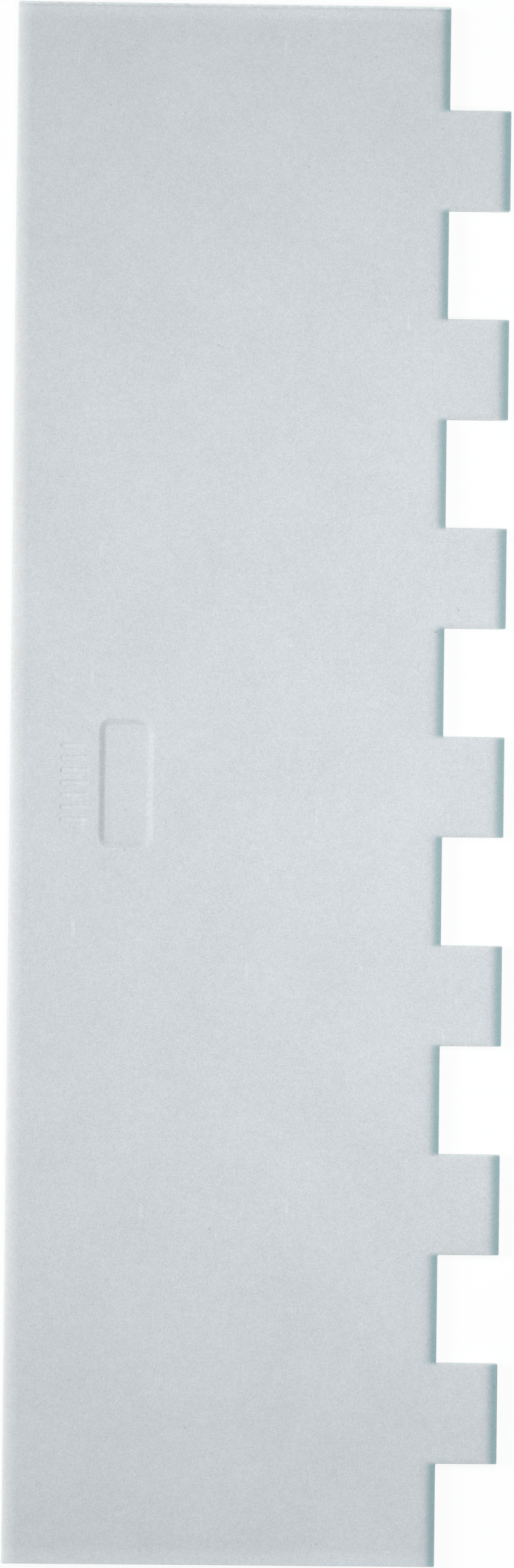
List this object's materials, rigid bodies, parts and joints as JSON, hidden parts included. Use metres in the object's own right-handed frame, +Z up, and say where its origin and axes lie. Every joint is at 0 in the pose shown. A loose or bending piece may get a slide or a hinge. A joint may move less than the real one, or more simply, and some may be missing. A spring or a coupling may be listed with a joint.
{
  "type": "cake scraper",
  "caption": "Flat frosted plastic side scraper for cakes: one straight long edge, one square-toothed long edge that combs stripes into icing, and a plain sunk label panel.",
  "frame": {"origin": "centre of the bounding box at the underside, with the sheet lying flat", "axes": "+X from the straight edge towards the teeth, +Y along the length, +Z up through the sheet's thickness"},
  "size_m": [0.0804, 0.254, 0.002],
  "materials": {
    "frosted_plastic": "fine frosted, slightly translucent, cool grey-white with a blue-green tint at the cut edges"
  },
  "bodies": {
    "root": {"scraper_plate": "frosted_plastic"}
  },
  "joints": []
}
